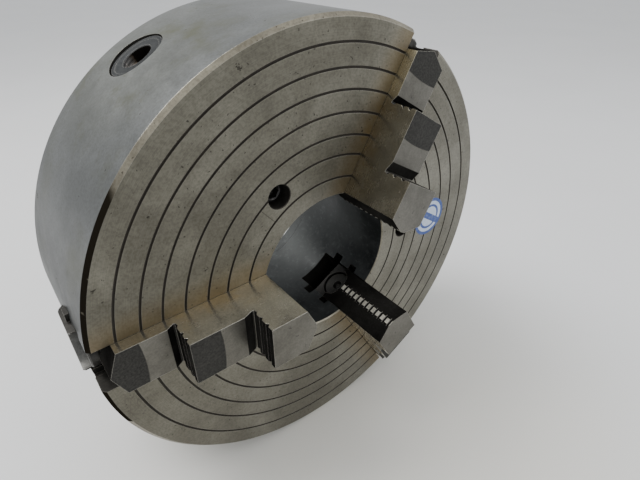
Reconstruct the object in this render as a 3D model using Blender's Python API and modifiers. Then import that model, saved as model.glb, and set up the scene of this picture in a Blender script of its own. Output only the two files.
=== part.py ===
"""Three-jaw combination lathe chuck, 400 mm: a scroll moves three carriers together, and a screw in each
carrier moves its own jaw.

The chuck is modelled lying on its back: Z = 0 is the back of the body and +Z points to the front face. An
empty then stands it on its rim, so that the front faces -Y and the origin stays at the centre of the back.
Radial pieces are modelled along +X, with Y across them, and turned about Z to their place.
"""

import math

import bmesh
import bpy
from mathutils import Matrix, Vector

MM = 0.001
GAP = 0.3 * MM  # clearance between pieces that rest on each other

# Body
BODY_RADIUS = 200 * MM
BODY_DEPTH = 136 * MM
BORE_RADIUS = 66 * MM
RIM_CHAMFER = 2.8 * MM
BACK_CHAMFER = 2 * MM
BODY_STEPS = 50
SCROLL_STEPS = 46

# Angular layout, counter-clockwise from +X as seen from the front
JAW_ANGLES = [60, 180, 300]
PINION_ANGLES = [0, 120, 240]

# Scroll cavity, open to the back and closed by the cover
CAVITY_INNER = 104 * MM
CAVITY_OUTER = 166 * MM
CAVITY_TOP = BODY_DEPTH - 63 * MM
COVER_BOTTOM = 4 * MM
COVER_THICKNESS = 12 * MM
COVER_RADIUS = 183.7 * MM
COVER_TOP = COVER_BOTTOM + COVER_THICKNESS
COVER_SCREW_RADIUS = 175 * MM

# Jaw slot: a straight channel with one groove for the jaw and one for the carrier
SLOT_HALF = 19.3 * MM
SLOT_FLOOR = BODY_DEPTH - 63.2 * MM
SIDE_CLEARANCE = 0.6 * MM
JAW_TONGUE_HALF = 24 * MM
JAW_TONGUE = (BODY_DEPTH - 26.2 * MM, BODY_DEPTH - 18.4 * MM)
CARRIER_TONGUE_HALF = 25.6 * MM
CARRIER_TONGUE = (BODY_DEPTH - 49.6 * MM, BODY_DEPTH - 40.4 * MM)
TONGUE_CLEARANCE = 0.5 * MM

# Scroll: spiral thread on the front, crown teeth on the back
SCROLL_PITCH = 10 * MM
SCROLL_INNER = CAVITY_INNER + 0.4 * MM
SCROLL_OUTER = 164 * MM
SCROLL_PLATE = (60 * MM, 66 * MM)
SPIRAL_INNER = 107 * MM
SPIRAL_OUTER = 161 * MM
SPIRAL_RIDGE = 4.2 * MM
SPIRAL_TOP = CAVITY_TOP - 0.5 * MM
SPIRAL_STEPS = 28  # sections in one turn

# Bevel drive from the pinions to the crown teeth; its teeth scale with the distance from the chuck's axis
CROWN_TEETH = 84
PINION_TEETH = 8
GEAR_RADIUS = 150 * MM  # where the tooth sizes below are measured
GEAR_INNER = 124 * MM
GEAR_OUTER = 157 * MM
PINION_AXIS = 43 * MM
PINION_PITCH_RADIUS = GEAR_RADIUS * PINION_TEETH / CROWN_TEETH
CROWN_ADDENDUM = 2.3 * MM
PINION_ADDENDUM = 1.7 * MM
PINION_DEDENDUM = 3.1 * MM
TOOTH_TIP_HALF = 1.3 * MM
TOOTH_ROOT_HALF = 2.6 * MM

# Pinions
PINION_RADIUS = 22 * MM
PINION_OUTER_END = 198.2 * MM
PINION_SHOULDER = 168.5 * MM
PINION_NECK = (173.5 * MM, 182.5 * MM)
PINION_NECK_RADIUS = 17.5 * MM
PINION_JOURNAL_RADIUS = 7 * MM
PINION_JOURNAL_END = 110.5 * MM
PINION_SOCKET = 17 * MM
PINION_SOCKET_DEPTH = 24 * MM
PINION_PIN_RADIUS = 4 * MM

# Carriers
CARRIER_HALF = SLOT_HALF - SIDE_CLEARANCE
CARRIER_TOP = BODY_DEPTH - 28.2 * MM
CARRIER_BOTTOM = SLOT_FLOOR + 0.8 * MM
CARRIER_OUTER_END = 203.8 * MM
CARRIER_CRADLE_END = 69 * MM
CARRIER_LOWER_END = 90 * MM
CARRIER_LEDGE = BODY_DEPTH - 44 * MM
CARRIER_TEETH = 3
CARRIER_TOOTH = 3.6 * MM
CARRIER_TOOTH_HALF = 14 * MM
CARRIER_FIRST_TOOTH = 130 * MM  # groove of the scroll that the innermost tooth of carrier 1 sits in

# Adjusting screws, one in each carrier, half sunk in it and half in the jaw
SCREW_AXIS = BODY_DEPTH - 28 * MM
SCREW_LEAD = 8 * MM
SCREW_RADIUS = 13.8 * MM
SCREW_CORE_RADIUS = 10.8 * MM
SCREW_INNER_END = 71 * MM
SCREW_OUTER_END = 198 * MM
SCREW_THREAD = (90 * MM, 150 * MM)
SCREW_RIDGE = 3 * MM
THREAD_STEPS = 8  # sections in one turn of thread
SCREW_NECK = (186.3 * MM, 191.7 * MM)
SCREW_NECK_RADIUS = 9 * MM
SCREW_SOCKET = 11 * MM
SCREW_SOCKET_DEPTH = 14 * MM
TROUGH_RADIUS = 14.5 * MM

# Jaws, stepped for gripping inside a ring and with a land for gripping a bar
JAW_HALF = SLOT_HALF - SIDE_CLEARANCE
JAW_BOTTOM = BODY_DEPTH - 27.6 * MM
JAW_NOSE = 56.5 * MM
JAW_NOSE_SHOULDER = 64.5 * MM
JAW_TIP = 192.4 * MM
JAW_TIP_SHOULDER = 184.5 * MM
JAW_TIP_HALF = 0.1 * MM
JAW_LAND_HALF = 2.5 * MM
JAW_LOW_STEP = 10 * MM  # heights above the face
JAW_RISERS = [(144 * MM, 32.5 * MM), (94.5 * MM, 55 * MM)]  # place, and height of the step inside it
RELIEF_WIDTH = 7 * MM
RELIEF_DEPTH = 3 * MM
NUT_RIDGES = 4
NUT_CENTRE = 120 * MM

# Fasteners
FACE_SCREW_CIRCLE = 95 * MM
FACE_SCREW_HEAD = (9 * MM, 12 * MM)
FACE_SCREW_SHANK = 6 * MM
FACE_SCREW_SEAT = BODY_DEPTH - 21.7 * MM
FACE_SCREW_END = COVER_BOTTOM + 3 * MM
COUNTERBORE_RADIUS = 9.6 * MM
COVER_SCREW_HEAD = (6.5 * MM, 8 * MM)
COVER_SCREW_SHANK = 4 * MM
COVER_SCREW_END = 34 * MM
COVER_SCREW_OFFSET = 30  # degrees: clear of the pinions and the slots

for old in list(bpy.data.objects):
    bpy.data.objects.remove(old)

parts = bpy.data.collections.new("lathe_chuck")
cutters = bpy.data.collections.new("cutters")
bpy.context.scene.collection.children.link(parts)
bpy.context.scene.collection.children.link(cutters)

stand = bpy.data.objects.new("chuck_stand", None)
stand.rotation_euler = (math.pi / 2, 0, 0)
parts.objects.link(stand)


def material(name, color, roughness, metallic):
    made = bpy.data.materials.new(name)
    made.use_nodes = True
    shader = made.node_tree.nodes["Principled BSDF"]
    shader.inputs["Base Color"].default_value = (*color, 1)
    shader.inputs["Roughness"].default_value = roughness
    shader.inputs["Metallic"].default_value = metallic
    return made


GROUND_STEEL = material("ground_steel", (0.42, 0.41, 0.38), 0.42, 0.9)
DARK_STEEL = material("dark_steel", (0.10, 0.10, 0.10), 0.45, 0.8)
CAST_IRON = material("cast_iron", (0.20, 0.20, 0.19), 0.55, 0.8)
BLACK_SCREW = material("black_screw", (0.04, 0.04, 0.045), 0.4, 0.7)


def add(name, mesh, finish=None, turn=0.0, parent=stand):
    """A part when it has a finish, and otherwise a cutter; turn is its angle about the chuck's axis."""
    made = bpy.data.objects.new(name, mesh)
    made.rotation_euler = (0, 0, math.radians(turn))
    made.parent = parent
    if finish:
        mesh.materials.append(finish)
        parts.objects.link(made)
    else:
        made.hide_render = True
        made.display_type = "WIRE"
        cutters.objects.link(made)
    return made


def mesh_from(name, form):
    bmesh.ops.recalc_face_normals(form, faces=form.faces)
    mesh = bpy.data.meshes.new(name)
    form.to_mesh(mesh)
    form.free()
    return mesh


def box(name, low, high):
    form = bmesh.new()
    bmesh.ops.create_cube(form, size=1)
    size = Vector(high) - Vector(low)
    centre = (Vector(high) + Vector(low)) / 2
    place = Matrix.Translation(centre) @ Matrix.Diagonal((*size, 1))
    bmesh.ops.transform(form, matrix=place, verts=form.verts)
    return mesh_from(name, form)


def rod(name, radius, start, end, axis="Z", centre=(0, 0), sides=32, start_radius=None):
    """A cylinder or cone from start to end along X or Z; centre is its place across that axis."""
    form = bmesh.new()
    bmesh.ops.create_cone(
        form, cap_ends=True, segments=sides, radius1=start_radius or radius, radius2=radius, depth=end - start
    )
    middle = (start + end) / 2
    if axis == "X":
        place = Matrix.Translation((middle, *centre)) @ Matrix.Rotation(math.pi / 2, 4, "Y")
    else:
        place = Matrix.Translation((*centre, middle))
    bmesh.ops.transform(form, matrix=place, verts=form.verts)
    return mesh_from(name, form)


def outline(name, points, half_width):
    """A flat outline in the XZ plane, thickened evenly to both sides of it."""
    form = bmesh.new()
    face = form.faces.new([form.verts.new((x, 0, z)) for x, z in points])
    moved = bmesh.ops.extrude_face_region(form, geom=[face])
    bmesh.ops.translate(
        form, vec=(0, half_width, 0), verts=[v for v in moved["geom"] if isinstance(v, bmesh.types.BMVert)]
    )
    for corner in form.verts:
        if corner.co.y == 0:
            corner.co.y = -half_width
    return mesh_from(name, form)


def loft(form, sections):
    """A closed bar through sections with equal numbers of corners."""
    rings = [[form.verts.new(point) for point in section] for section in sections]
    count = len(rings[0])
    for one, two in zip(rings, rings[1:]):
        for i in range(count):
            j = (i + 1) % count
            form.faces.new((one[i], one[j], two[j], two[i]))
    form.faces.new(rings[0])
    form.faces.new(rings[-1])


def turned(name, profile, finish, steps, parent=stand):
    """A ring whose closed profile of (radius, z) points runs down its outer side and up its bore."""
    form = bmesh.new()
    corners = [form.verts.new((radius, 0, z)) for radius, z in profile]
    for one, two in zip(corners, corners[1:] + corners[:1]):
        form.edges.new((one, two))
    mesh = bpy.data.meshes.new(name)
    form.to_mesh(mesh)
    form.free()
    made = add(name, mesh, finish, parent=parent)
    sweep = made.modifiers.new("turn", "SCREW")
    sweep.axis = "Z"
    sweep.angle = 2 * math.pi
    sweep.steps = sweep.render_steps = steps
    sweep.use_merge_vertices = True
    sweep.merge_threshold = 0.00001
    return made


def combine(target, tool, operation="DIFFERENCE"):
    step = target.modifiers.new(tool.name, "BOOLEAN")
    step.operation = operation
    step.object = tool
    step.solver = "EXACT"


def finish_round(made):
    made.data.shade_smooth()
    made.data.set_sharp_from_angle(angle=math.radians(30))


def square_socket(name, side, start, end, height):
    """A square hole along X, with its flats facing up and across."""
    half = side / 2
    return box(name, (start, -half, height - half), (end, half, height + half))


def hex_socket(name, across_flats, bottom, top, centre):
    return rod(name, across_flats / math.sqrt(3), bottom, top, centre=centre, sides=6)


def body_profile():
    return [
        (BORE_RADIUS, BODY_DEPTH),
        (BODY_RADIUS - RIM_CHAMFER, BODY_DEPTH),
        (BODY_RADIUS, BODY_DEPTH - RIM_CHAMFER),
        (BODY_RADIUS, BACK_CHAMFER),
        (BODY_RADIUS - BACK_CHAMFER, 0),
        (COVER_RADIUS + GAP, 0),
        (COVER_RADIUS + GAP, COVER_TOP + GAP),
        (CAVITY_OUTER, COVER_TOP + GAP),
        (CAVITY_OUTER, CAVITY_TOP),
        (CAVITY_INNER, CAVITY_TOP),
        (CAVITY_INNER, COVER_TOP + GAP),
        (BORE_RADIUS, COVER_TOP + GAP),
    ]


def make_body():
    body = turned("chuck_body", body_profile(), GROUND_STEEL, BODY_STEPS)
    reach = BODY_RADIUS + 10 * MM
    start = BORE_RADIUS - 10 * MM
    tongues = [(JAW_TONGUE_HALF, JAW_TONGUE), (CARRIER_TONGUE_HALF, CARRIER_TONGUE)]
    for number, angle in enumerate(JAW_ANGLES, 1):
        channel = box(
            f"slot_{number}", (start, -SLOT_HALF, SLOT_FLOOR), (reach, SLOT_HALF, BODY_DEPTH + 5 * MM)
        )
        combine(body, add(f"slot_{number}", channel, turn=angle))
        for place, (half, (low, high)) in enumerate(tongues, 1):
            groove = box(
                f"slot_{number}_groove_{place}",
                (start, -half - TONGUE_CLEARANCE, low - TONGUE_CLEARANCE),
                (reach, half + TONGUE_CLEARANCE, high + TONGUE_CLEARANCE),
            )
            combine(body, add(groove.name, groove, turn=angle))
    for number, angle in enumerate(PINION_ANGLES, 1):
        hole = rod(
            f"pinion_bore_{number}", PINION_RADIUS + 0.4 * MM, CAVITY_OUTER - 5 * MM, reach, "X",
            (0, PINION_AXIS),
        )
        combine(body, add(hole.name, hole, turn=angle))
        pin = rod(
            f"pin_hole_{number}", PINION_PIN_RADIUS + GAP, COVER_TOP - MM, PINION_AXIS + 17 * MM,
            centre=pin_place(), sides=16,
        )
        combine(body, add(pin.name, pin, turn=angle))
        seat = rod(
            f"counterbore_{number}", COUNTERBORE_RADIUS, FACE_SCREW_SEAT, BODY_DEPTH + MM,
            centre=(FACE_SCREW_CIRCLE, 0),
        )
        combine(body, add(seat.name, seat, turn=angle))
        shank = rod(
            f"face_screw_hole_{number}", FACE_SCREW_SHANK + 0.5 * MM, COVER_TOP - MM, FACE_SCREW_SEAT + MM,
            centre=(FACE_SCREW_CIRCLE, 0), sides=20,
        )
        combine(body, add(shank.name, shank, turn=angle))
    for number, angle in enumerate(cover_screw_angles(), 1):
        thread = rod(
            f"cover_thread_{number}", COVER_SCREW_SHANK + GAP, COVER_TOP - MM, COVER_SCREW_END + 2 * MM,
            centre=(COVER_SCREW_RADIUS, 0), sides=12,
        )
        combine(body, add(thread.name, thread, turn=angle))
    finish_round(body)


def pin_place():
    """Where a retaining pin stands beside its pinion: along the radius, and across it."""
    along = sum(PINION_NECK) / 2
    return along, PINION_NECK_RADIUS + GAP + PINION_PIN_RADIUS


def cover_screw_angles():
    return [COVER_SCREW_OFFSET + 60 * i for i in range(6)]


def make_cover():
    rib = (CAVITY_INNER + 3 * MM, CAVITY_INNER + 15 * MM)
    cover = turned(
        "back_cover",
        [
            (BORE_RADIUS, COVER_TOP),
            (rib[0], COVER_TOP),
            (rib[0], SCROLL_PLATE[0] - 0.4 * MM),
            (rib[1], SCROLL_PLATE[0] - 0.4 * MM),
            (rib[1], COVER_TOP),
            (COVER_RADIUS, COVER_TOP),
            (COVER_RADIUS, COVER_BOTTOM),
            (BORE_RADIUS, COVER_BOTTOM),
        ],
        CAST_IRON,
        BODY_STEPS,
    )
    for number, angle in enumerate(PINION_ANGLES, 1):
        bearing = rod(
            f"journal_bore_{number}", PINION_JOURNAL_RADIUS + GAP, rib[0] - 2 * MM, rib[1] + 2 * MM, "X",
            (0, PINION_AXIS), 20,
        )
        combine(cover, add(bearing.name, bearing, turn=angle))
        thread = rod(
            f"face_thread_{number}", FACE_SCREW_SHANK + GAP, FACE_SCREW_END - MM, COVER_TOP + MM,
            centre=(FACE_SCREW_CIRCLE, 0), sides=20,
        )
        combine(cover, add(thread.name, thread, turn=angle))
    for number, angle in enumerate(cover_screw_angles(), 1):
        hole = rod(
            f"cover_hole_{number}", COVER_SCREW_SHANK + GAP, COVER_BOTTOM - MM, COVER_TOP + MM,
            centre=(COVER_SCREW_RADIUS, 0), sides=12,
        )
        combine(cover, add(hole.name, hole, turn=angle))
        seat = rod(
            f"cover_seat_{number}", COVER_SCREW_HEAD[0] + 0.5 * MM, COVER_BOTTOM - MM,
            COVER_BOTTOM + COVER_SCREW_HEAD[1] + GAP, centre=(COVER_SCREW_RADIUS, 0), sides=16,
        )
        combine(cover, add(seat.name, seat, turn=angle))
    finish_round(cover)


def around(radius, angle, z):
    return radius * math.cos(angle), radius * math.sin(angle), z


def spiral_angle(radius):
    """Angle at which the middle of the ridge reaches a radius; carrier 1 sits between two ridges."""
    turns = (radius - CARRIER_FIRST_TOOTH + SCROLL_PITCH / 2) / SCROLL_PITCH
    return 2 * math.pi * turns + math.radians(JAW_ANGLES[0])


def spiral_ridge():
    form = bmesh.new()
    low = SCROLL_PLATE[1] - MM
    count = round((SPIRAL_OUTER - SPIRAL_INNER) / SCROLL_PITCH * SPIRAL_STEPS)
    sections = []
    for i in range(count + 1):
        middle = SPIRAL_INNER + (SPIRAL_OUTER - SPIRAL_INNER) * i / count
        angle = spiral_angle(middle)
        inner = middle - SPIRAL_RIDGE / 2
        outer = middle + SPIRAL_RIDGE / 2
        sections.append(
            [
                around(inner, angle, low),
                around(outer, angle, low),
                around(outer, angle, SPIRAL_TOP),
                around(inner, angle, SPIRAL_TOP),
            ]
        )
    loft(form, sections)
    return mesh_from("spiral_ridge", form)


def crown_teeth():
    form = bmesh.new()
    for i in range(CROWN_TEETH):
        middle = 2 * math.pi * (i + 0.5) / CROWN_TEETH
        sections = []
        for radius in (GEAR_INNER, GEAR_OUTER):
            scale = radius / GEAR_RADIUS
            tip = PINION_AXIS + scale * (PINION_PITCH_RADIUS - CROWN_ADDENDUM)
            root = SCROLL_PLATE[0] + MM
            tip_half = TOOTH_TIP_HALF / GEAR_RADIUS
            root_half = TOOTH_ROOT_HALF / GEAR_RADIUS
            sections.append(
                [
                    around(radius, middle - root_half, root),
                    around(radius, middle + root_half, root),
                    around(radius, middle + tip_half, tip),
                    around(radius, middle - tip_half, tip),
                ]
            )
        loft(form, sections)
    return mesh_from("crown_teeth", form)


def make_scroll():
    plate = turned(
        "scroll_plate",
        [
            (SCROLL_INNER, SCROLL_PLATE[1]),
            (SCROLL_OUTER, SCROLL_PLATE[1]),
            (SCROLL_OUTER, SCROLL_PLATE[0]),
            (SCROLL_INNER, SCROLL_PLATE[0]),
        ],
        DARK_STEEL,
        SCROLL_STEPS,
    )
    combine(plate, add("spiral_ridge", spiral_ridge()), "UNION")
    combine(plate, add("crown_teeth", crown_teeth()), "UNION")
    finish_round(plate)


def pinion_teeth():
    """Bevel teeth round the X axis, tapering towards the chuck's axis; one tooth points straight up."""
    form = bmesh.new()
    for i in range(PINION_TEETH):
        turn = 2 * math.pi * i / PINION_TEETH
        across = Vector((0, math.cos(turn), -math.sin(turn)))
        up = Vector((0, math.sin(turn), math.cos(turn)))
        sections = []
        for radius in (GEAR_INNER, GEAR_OUTER):
            scale = radius / GEAR_RADIUS
            centre = Vector((radius, 0, PINION_AXIS))
            root = scale * (PINION_PITCH_RADIUS - PINION_DEDENDUM - MM)
            tip = scale * (PINION_PITCH_RADIUS + PINION_ADDENDUM)
            root_half = scale * TOOTH_ROOT_HALF
            tip_half = scale * TOOTH_TIP_HALF
            sections.append(
                [
                    centre + up * root - across * root_half,
                    centre + up * root + across * root_half,
                    centre + up * tip + across * tip_half,
                    centre + up * tip - across * tip_half,
                ]
            )
        loft(form, sections)
    return mesh_from("pinion_teeth", form)


def turned_along(name, profile, finish, height, angle, steps=24):
    """A turned piece on a radial axis; its profile points are (radius, distance from the chuck's axis)."""
    made = turned(name, profile, finish, steps)
    made.matrix_local = (
        Matrix.Rotation(math.radians(angle), 4, "Z")
        @ Matrix.Translation((0, 0, height))
        @ Matrix.Rotation(math.pi / 2, 4, "Y")
    )
    return made


def make_pinion(number, angle):
    """The shank runs in the body, the journal in the cover's rib, and the neck clears the retaining pin."""
    root = (PINION_PITCH_RADIUS - PINION_DEDENDUM) / GEAR_RADIUS
    pinion = turned_along(
        f"pinion_{number}",
        [
            (0, PINION_OUTER_END),
            (PINION_RADIUS - MM, PINION_OUTER_END),
            (PINION_RADIUS, PINION_OUTER_END - MM),
            (PINION_RADIUS, PINION_NECK[1]),
            (PINION_NECK_RADIUS, PINION_NECK[1]),
            (PINION_NECK_RADIUS, PINION_NECK[0]),
            (PINION_RADIUS, PINION_NECK[0]),
            (PINION_RADIUS, PINION_SHOULDER),
            (root * PINION_SHOULDER, PINION_SHOULDER),
            (root * GEAR_INNER, GEAR_INNER),
            (PINION_JOURNAL_RADIUS, GEAR_INNER),
            (PINION_JOURNAL_RADIUS, PINION_JOURNAL_END),
            (0, PINION_JOURNAL_END),
        ],
        DARK_STEEL, PINION_AXIS, angle, 20,
    )
    teeth = pinion_teeth()
    combine(pinion, add(f"pinion_teeth_{number}", teeth, turn=angle), "UNION")
    socket = square_socket(
        f"pinion_socket_{number}", PINION_SOCKET, PINION_OUTER_END - PINION_SOCKET_DEPTH,
        PINION_OUTER_END + MM, PINION_AXIS,
    )
    combine(pinion, add(socket.name, socket, turn=angle))
    finish_round(pinion)


def make_pinion_pin(number, angle):
    pin = rod(
        f"pinion_pin_{number}", PINION_PIN_RADIUS, COVER_TOP + 2 * GAP, PINION_AXIS + 16 * MM,
        centre=pin_place(), sides=16,
    )
    finish_round(add(pin.name, pin, BLACK_SCREW, angle))


def carrier_teeth(number, angle):
    """Short arcs in the grooves of the scroll; they shift by a third of the pitch from carrier to carrier."""
    form = bmesh.new()
    first = CARRIER_FIRST_TOOTH + SCROLL_PITCH * (angle - JAW_ANGLES[0]) / 360
    for i in range(CARRIER_TEETH):
        radius = first + SCROLL_PITCH * i
        spread = CARRIER_TOOTH_HALF / radius
        sections = []
        for step in range(7):
            local = spread * (step / 3 - 1)
            middle = radius + SCROLL_PITCH * local / (2 * math.pi)
            sections.append(
                [
                    around(middle - CARRIER_TOOTH / 2, local, SCROLL_PLATE[1] + 0.8 * MM),
                    around(middle + CARRIER_TOOTH / 2, local, SCROLL_PLATE[1] + 0.8 * MM),
                    around(middle + CARRIER_TOOTH / 2, local, CARRIER_BOTTOM + MM),
                    around(middle - CARRIER_TOOTH / 2, local, CARRIER_BOTTOM + MM),
                ]
            )
        loft(form, sections)
    return mesh_from(f"carrier_teeth_{number}", form)


def make_carrier(number, angle):
    side = outline(
        f"carrier_{number}",
        [
            (CARRIER_CRADLE_END, CARRIER_TOP),
            (CARRIER_OUTER_END, CARRIER_TOP),
            (CARRIER_OUTER_END, CARRIER_BOTTOM),
            (CARRIER_LOWER_END, CARRIER_BOTTOM),
            (CARRIER_LOWER_END, CARRIER_LEDGE),
            (CARRIER_CRADLE_END, CARRIER_LEDGE),
        ],
        CARRIER_HALF,
    )
    carrier = add(side.name, side, DARK_STEEL, angle)
    tongue = box(
        f"carrier_tongue_{number}", (CARRIER_LOWER_END, -CARRIER_TONGUE_HALF, CARRIER_TONGUE[0]),
        (CARRIER_OUTER_END, CARRIER_TONGUE_HALF, CARRIER_TONGUE[1]),
    )
    combine(carrier, add(tongue.name, tongue, turn=angle), "UNION")
    teeth = carrier_teeth(number, angle)
    combine(carrier, add(teeth.name, teeth, turn=angle), "UNION")
    web = (SCREW_NECK[0] + GAP, SCREW_NECK[1] - GAP)
    spans = [
        (CARRIER_CRADLE_END - MM, web[0], TROUGH_RADIUS),
        (web[0] - MM, web[1] + MM, SCREW_NECK_RADIUS + GAP),
        (web[1], CARRIER_OUTER_END + MM, TROUGH_RADIUS),
    ]
    for place, (start, end, radius) in enumerate(spans, 1):
        trough = rod(f"carrier_trough_{number}_{place}", radius, start, end, "X", (0, SCREW_AXIS), 24)
        combine(carrier, add(trough.name, trough, turn=angle))
    finish_round(carrier)


def helix_sections(start, first_angle, last_angle, inner, outer, steps):
    """Sections of a square ridge round the screw's axis; at angle 0 its middle is at start."""
    count = max(6, round(steps * (last_angle - first_angle) / (2 * math.pi)))
    along = Vector((SCREW_RIDGE / 2, 0, 0))
    sections = []
    for i in range(count + 1):
        turn = first_angle + (last_angle - first_angle) * i / count
        centre = Vector((start + SCREW_LEAD * turn / (2 * math.pi), 0, SCREW_AXIS))
        aside = Vector((0, math.cos(turn), math.sin(turn)))
        sections.append(
            [
                centre + aside * inner - along,
                centre + aside * inner + along,
                centre + aside * outer + along,
                centre + aside * outer - along,
            ]
        )
    return sections


def helix(name, start, end, inner, outer, steps):
    form = bmesh.new()
    loft(form, helix_sections(start, 0, 2 * math.pi * (end - start) / SCREW_LEAD, inner, outer, steps))
    return mesh_from(name, form)


def nut_ridges(number):
    """The half turns of thread in the jaw, midway between the ridges of the screw."""
    form = bmesh.new()
    phase = (NUT_CENTRE - SCREW_THREAD[0]) % SCREW_LEAD
    for i in range(NUT_RIDGES):
        start = NUT_CENTRE - phase + SCREW_LEAD * (i + 0.5 - NUT_RIDGES / 2)
        inner = SCREW_CORE_RADIUS + 0.6 * MM
        sections = helix_sections(
            start, math.radians(14), math.radians(166), inner, TROUGH_RADIUS + MM, THREAD_STEPS
        )
        loft(form, sections)
    return mesh_from(f"nut_ridges_{number}", form)


def make_screw(number, angle):
    screw = turned_along(
        f"adjusting_screw_{number}",
        [
            (0, SCREW_OUTER_END),
            (SCREW_RADIUS - MM, SCREW_OUTER_END),
            (SCREW_RADIUS, SCREW_OUTER_END - MM),
            (SCREW_RADIUS, SCREW_NECK[1]),
            (SCREW_NECK_RADIUS, SCREW_NECK[1]),
            (SCREW_NECK_RADIUS, SCREW_NECK[0]),
            (SCREW_RADIUS, SCREW_NECK[0]),
            (SCREW_RADIUS, SCREW_THREAD[1] + 6 * MM),
            (SCREW_CORE_RADIUS, SCREW_THREAD[1] + 3 * MM),
            (SCREW_CORE_RADIUS, SCREW_THREAD[0] - 3 * MM),
            (SCREW_RADIUS, SCREW_THREAD[0] - 6 * MM),
            (SCREW_RADIUS, SCREW_INNER_END),
            (0, SCREW_INNER_END),
        ],
        DARK_STEEL, SCREW_AXIS, angle, 14,
    )
    thread = helix(
        f"screw_thread_{number}", SCREW_THREAD[0], SCREW_THREAD[1], SCREW_CORE_RADIUS - 0.6 * MM,
        SCREW_RADIUS, THREAD_STEPS,
    )
    combine(screw, add(thread.name, thread, turn=angle), "UNION")
    socket = square_socket(
        f"screw_socket_{number}", SCREW_SOCKET, SCREW_OUTER_END - SCREW_SOCKET_DEPTH, SCREW_OUTER_END + MM,
        SCREW_AXIS,
    )
    combine(screw, add(socket.name, socket, turn=angle))
    finish_round(screw)


def jaw_outline():
    """The jaw from its side; a relief groove runs along the foot of each riser."""
    points = [(JAW_TIP, JAW_BOTTOM), (JAW_NOSE, JAW_BOTTOM), (JAW_NOSE, BODY_DEPTH + JAW_RISERS[-1][1])]
    floors = [JAW_LOW_STEP] + [height for place, height in JAW_RISERS[:-1]]
    for (place, height), floor in reversed(list(zip(JAW_RISERS, floors))):
        points.append((place, BODY_DEPTH + height))
        points.append((place, BODY_DEPTH + floor - RELIEF_DEPTH))
        points.append((place + RELIEF_WIDTH, BODY_DEPTH + floor - RELIEF_DEPTH))
        points.append((place + RELIEF_WIDTH, BODY_DEPTH + floor))
    points.append((JAW_TIP, BODY_DEPTH + JAW_LOW_STEP))
    return points


def make_jaw(number, angle):
    side = outline(f"jaw_{number}", jaw_outline(), JAW_HALF)
    jaw = add(side.name, side, GROUND_STEEL, angle)
    tongue = box(
        f"jaw_tongue_{number}", (JAW_NOSE_SHOULDER + 6 * MM, -JAW_TONGUE_HALF, JAW_TONGUE[0]),
        (JAW_TIP_SHOULDER - 6 * MM, JAW_TONGUE_HALF, JAW_TONGUE[1]),
    )
    combine(jaw, add(tongue.name, tongue, turn=angle), "UNION")
    above = BODY_DEPTH + JAW_RISERS[-1][1] + 5 * MM
    below = JAW_BOTTOM - 5 * MM
    for side_name, sign in (("left", 1), ("right", -1)):
        corners = [
            ("nose", (JAW_NOSE, sign * JAW_LAND_HALF), (JAW_NOSE_SHOULDER, sign * JAW_HALF)),
            ("tip", (JAW_TIP, sign * JAW_TIP_HALF), (JAW_TIP_SHOULDER, sign * JAW_HALF)),
        ]
        for end, near, far in corners:
            bevel = wedge(f"{end}_bevel_{side_name}_{number}", near, far, below, above)
            combine(jaw, add(bevel.name, bevel, turn=angle))
    trough = rod(
        f"jaw_trough_{number}", TROUGH_RADIUS, JAW_NOSE - MM, JAW_TIP + MM, "X", (0, SCREW_AXIS), 24
    )
    combine(jaw, add(trough.name, trough, turn=angle))
    ridges = nut_ridges(number)
    combine(jaw, add(ridges.name, ridges, turn=angle), "UNION")
    finish_round(jaw)


def wedge(name, near, far, low, high):
    """A triangular prism that cuts the corner outside the line from near to far, both (x, y)."""
    form = bmesh.new()
    line = Vector(far) - Vector(near)
    reach = 1.5
    start = Vector(near) - line * (reach - 1)
    end = Vector(far) + line * (reach - 1)
    out = Vector((line.y, -line.x)).normalized() * line.length
    if out.y * near[1] < 0:
        out = -out
    corners = [start, end, end + out, start + out]
    sections = [[(p.x, p.y, z) for p in corners] for z in (low, high)]
    loft(form, sections)
    return mesh_from(name, form)


def cap_screw(name, head, shank_radius, head_bottom, shank_end, place, angle, facing):
    """A socket head cap screw along Z; facing is +1 when its head is towards the front."""
    head_radius, head_height = head
    head_end = head_bottom + facing * head_height
    low, high = sorted((head_bottom, head_end))
    screw = add(name, rod(name, head_radius, low, high, centre=place, sides=20), BLACK_SCREW, angle)
    low, high = sorted((shank_end, head_bottom + facing * MM))
    shank = rod(f"{name}_shank", shank_radius, low, high, centre=place, sides=16)
    combine(screw, add(shank.name, shank, turn=angle), "UNION")
    low, high = sorted((head_end - facing * head_height / 2, head_end + facing * MM))
    socket = hex_socket(f"{name}_socket", head_radius * 1.1, low, high, place)
    combine(screw, add(socket.name, socket, turn=angle))
    finish_round(screw)


def make_fasteners():
    for number, angle in enumerate(PINION_ANGLES, 1):
        cap_screw(
            f"face_screw_{number}", FACE_SCREW_HEAD, FACE_SCREW_SHANK, FACE_SCREW_SEAT + GAP, FACE_SCREW_END,
            (FACE_SCREW_CIRCLE, 0), angle, 1,
        )
    for number, angle in enumerate(cover_screw_angles(), 1):
        cap_screw(
            f"cover_screw_{number}", COVER_SCREW_HEAD, COVER_SCREW_SHANK, COVER_BOTTOM + COVER_SCREW_HEAD[1],
            COVER_SCREW_END, (COVER_SCREW_RADIUS, 0), angle, -1,
        )


make_body()
make_cover()
make_scroll()
for number, angle in enumerate(PINION_ANGLES, 1):
    make_pinion(number, angle)
    make_pinion_pin(number, angle)
for number, angle in enumerate(JAW_ANGLES, 1):
    make_carrier(number, angle)
    make_screw(number, angle)
    make_jaw(number, angle)
make_fasteners()
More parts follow.
